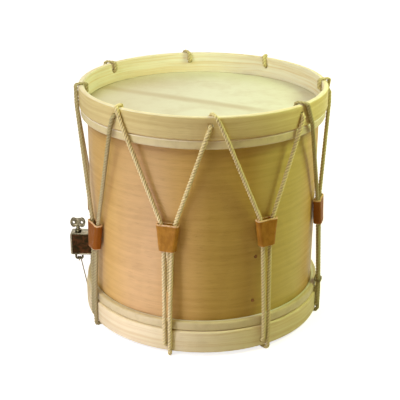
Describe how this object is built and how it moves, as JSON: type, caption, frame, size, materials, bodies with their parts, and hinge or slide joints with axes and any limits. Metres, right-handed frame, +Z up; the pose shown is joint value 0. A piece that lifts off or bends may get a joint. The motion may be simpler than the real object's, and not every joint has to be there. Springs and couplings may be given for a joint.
{
  "type": "rope tensioned drum",
  "caption": "Cylindrical wooden folk drum with skins on both ends, laced hoops tightened by sliding leather ears, and a gut snare with a thumb-screw tensioner.",
  "frame": {"origin": "on the drum's axis, in the plane on which the lower loops of the lacing stand", "axes": "+Z up along the drum's axis towards the batter head, -X towards the snare tensioner, -Y towards the viewer"},
  "size_m": [0.3476, 0.3311, 0.3188],
  "materials": {
    "shell_wood": "satin varnish",
    "hoop_wood": "satin varnish",
    "flesh_wood": "bare",
    "skin": "dry rawhide",
    "cord": "twisted natural fibre",
    "ear_leather": "waxed",
    "plate_steel": "tarnished nickel",
    "nickel_steel": "nickel plated",
    "tack_steel": "dark",
    "gut": "twisted gut"
  },
  "bodies": {
    "drum": {"shell": "shell_wood", "batter_hoop": "hoop_wood", "snare_hoop": "hoop_wood", "batter_flesh_hoop": "flesh_wood", "snare_flesh_hoop": "flesh_wood", "batter_head": "skin", "snare_head": "skin", "lacing_1": "cord", "lacing_2": "cord", "lacing_3": "cord", "lacing_4": "cord", "lacing_5": "cord", "lacing_6": "cord", "lacing_7": "cord", "lacing_8": "cord", "tensioner_housing": "plate_steel", "tensioner_mount_screw_lower": "nickel_steel", "tensioner_mount_screw_upper": "nickel_steel", "seam_tack_upper": "tack_steel", "seam_tack_lower": "tack_steel", "gut_snare": "gut"},
    "ear_1_body": {"ear_1": "ear_leather"},
    "ear_2_body": {"ear_2": "ear_leather"},
    "ear_3_body": {"ear_3": "ear_leather"},
    "ear_4_body": {"ear_4": "ear_leather"},
    "ear_5_body": {"ear_5": "ear_leather"},
    "ear_6_body": {"ear_6": "ear_leather"},
    "ear_7_body": {"ear_7": "ear_leather"},
    "ear_8_body": {"ear_8": "ear_leather"},
    "thumb_screw": {"tensioner_thumb_screw": "nickel_steel"},
    "snare_hook": {"tensioner_hook": "nickel_steel"}
  },
  "joints": [
    {"name": "ear_1_slide", "type": "slide", "parent": "drum", "child": "ear_1_body", "axis": [0, 0, 1], "range_m": [-0.053, 0.0425], "deforming": ["lacing_1"]},
    {"name": "ear_2_slide", "type": "slide", "parent": "drum", "child": "ear_2_body", "axis": [0, 0, 1], "range_m": [-0.083, 0.0125], "deforming": ["lacing_2"]},
    {"name": "ear_3_slide", "type": "slide", "parent": "drum", "child": "ear_3_body", "axis": [0, 0, 1], "range_m": [-0.085, 0.0105], "deforming": ["lacing_3"]},
    {"name": "ear_4_slide", "type": "slide", "parent": "drum", "child": "ear_4_body", "axis": [0, 0, 1], "range_m": [-0.075, 0.0205], "deforming": ["lacing_4"]},
    {"name": "ear_5_slide", "type": "slide", "parent": "drum", "child": "ear_5_body", "axis": [0, 0, 1], "range_m": [-0.08, 0.0155], "deforming": ["lacing_5"]},
    {"name": "ear_6_slide", "type": "slide", "parent": "drum", "child": "ear_6_body", "axis": [0, 0, 1], "range_m": [-0.086, 0.0095], "deforming": ["lacing_6"]},
    {"name": "ear_7_slide", "type": "slide", "parent": "drum", "child": "ear_7_body", "axis": [0, 0, 1], "range_m": [-0.083, 0.0125], "deforming": ["lacing_7"]},
    {"name": "ear_8_slide", "type": "slide", "parent": "drum", "child": "ear_8_body", "axis": [0, 0, 1], "range_m": [-0.056, 0.0395], "deforming": ["lacing_8"]},
    {"name": "thumb_screw_turn", "type": "hinge", "parent": "drum", "child": "thumb_screw", "pos_m": [-0.1712, 0.00598, 0.097], "axis": [0, 0, -1], "range_deg": [-1080, 2160]},
    {"name": "snare_hook_slide", "type": "slide", "parent": "drum", "child": "snare_hook", "axis": [0, 0, 1], "range_m": [-0.0021, 0.0042], "deforming": ["gut_snare"]}
  ],
  "couplings": [
    {"joint": "snare_hook_slide", "follows": "thumb_screw_turn", "m_per_rad": 0.00011141}
  ]
}
